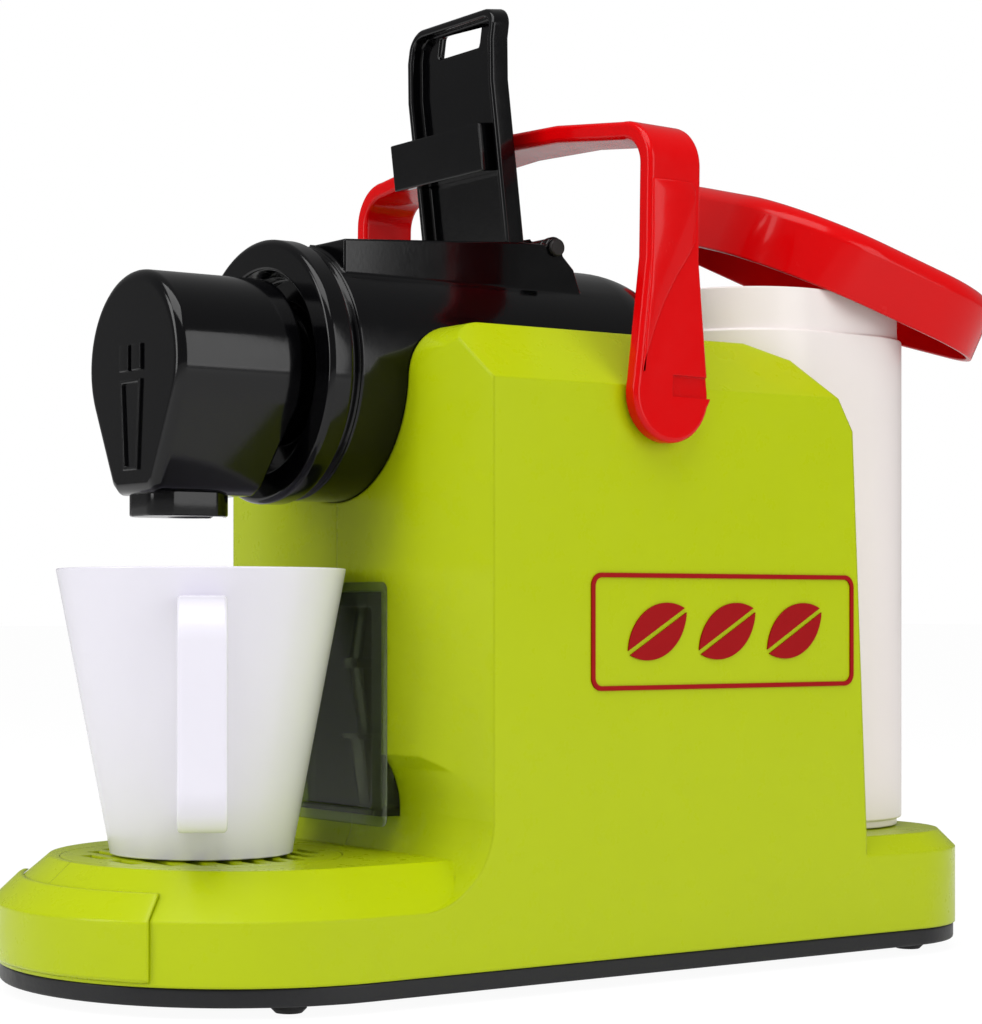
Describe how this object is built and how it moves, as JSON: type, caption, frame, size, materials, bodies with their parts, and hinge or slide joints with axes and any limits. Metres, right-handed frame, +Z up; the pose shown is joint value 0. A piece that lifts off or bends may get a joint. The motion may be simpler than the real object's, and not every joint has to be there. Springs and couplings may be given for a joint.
{
  "type": "toy coffee maker",
  "caption": "Toy coffee maker: round-nosed base, bevelled tower, black brewing barrel with spout head, lever-closed capsule flap, lift-off water tank with lid, loose cup",
  "frame": {"origin": "middle of the bounding box at floor level", "axes": "+Z up, the front with the spout and cup faces -Y, +X is the side seen in the picture"},
  "size_m": [0.1234, 0.2843, 0.2371],
  "materials": {
    "lime_plastic": "gloss moulded lime green",
    "red_plastic": "gloss moulded red",
    "black_gloss": "gloss moulded black",
    "black_satin": "satin black",
    "rubber_black": "soft black rubber",
    "clear_smoke": "clear, slightly smoked",
    "milky_white": "milky translucent white",
    "cup_white": "frosted translucent white",
    "steel": "bright steel",
    "nickel_pin": "dull nickel",
    "cell_wrap": "printed sleeve without words",
    "grey_plastic": "grey moulded",
    "hose_clear": "soft clear hose",
    "capsule_brown": "dark capsule",
    "red_print": "red print"
  },
  "bodies": {
    "base": {"body_right": "lime_plastic", "body_left": "lime_plastic", "nose_bumper": "lime_plastic", "base_pan": "black_satin", "feet": "rubber_black", "drip_grate": "lime_plastic", "drip_tray": "grey_plastic", "battery_box": "grey_plastic", "batteries": "cell_wrap", "battery_contacts": "steel", "battery_door": "black_satin", "door_screw": "steel", "body_screws": "steel", "barrel": "black_gloss", "collar": "black_gloss", "head_upper": "black_gloss", "head_lower": "black_gloss", "head_relief": "black_gloss", "nozzle": "black_gloss", "spout_tube": "hose_clear", "capsule_holder": "grey_plastic", "pierce_needle": "steel", "hinge_pin": "nickel_pin", "lever_switch": "black_satin", "pump_housing": "grey_plastic", "pump_motor": "steel", "inlet_hose": "hose_clear", "outlet_hose": "hose_clear", "tank_socket": "grey_plastic", "capsule_bin": "clear_smoke", "bin_flange": "clear_smoke", "capsules": "capsule_brown", "side_frame_right": "red_print", "side_frame_left": "red_print"},
    "lever_arm": {"lever": "red_plastic", "lever_shaft": "steel"},
    "flap": {"flap": "black_gloss", "flap_plug": "black_gloss"},
    "tank": {"tank": "milky_white", "tank_outlet": "milky_white", "tank_seal": "rubber_black", "tank_filter": "milky_white"},
    "lid": {"tank_lid": "red_plastic"},
    "cup": {"cup": "cup_white"}
  },
  "joints": [
    {"name": "lever_swing", "type": "hinge", "parent": "base", "child": "lever_arm", "pos_m": [0, -0.00255, 0.139], "axis": [1, 0, 0], "range_deg": [0, 46]},
    {"name": "flap_swing", "type": "hinge", "parent": "base", "child": "flap", "pos_m": [0, -0.00555, 0.178], "axis": [1, 0, 0], "range_deg": [0, 83]},
    {"name": "tank_lift", "type": "slide", "parent": "base", "child": "tank", "axis": [0, 0, 1], "range_m": [0, 0.15]},
    {"name": "lid_lift", "type": "slide", "parent": "tank", "child": "lid", "axis": [0, 0, 1], "range_m": [0, 0.06]},
    {"name": "cup_slide", "type": "slide", "parent": "base", "child": "cup", "axis": [0, -1, 0], "range_m": [0, 0.1]}
  ],
  "couplings": [
    {"joint": "flap_swing", "follows": "lever_swing", "ratio": 1.8}
  ]
}
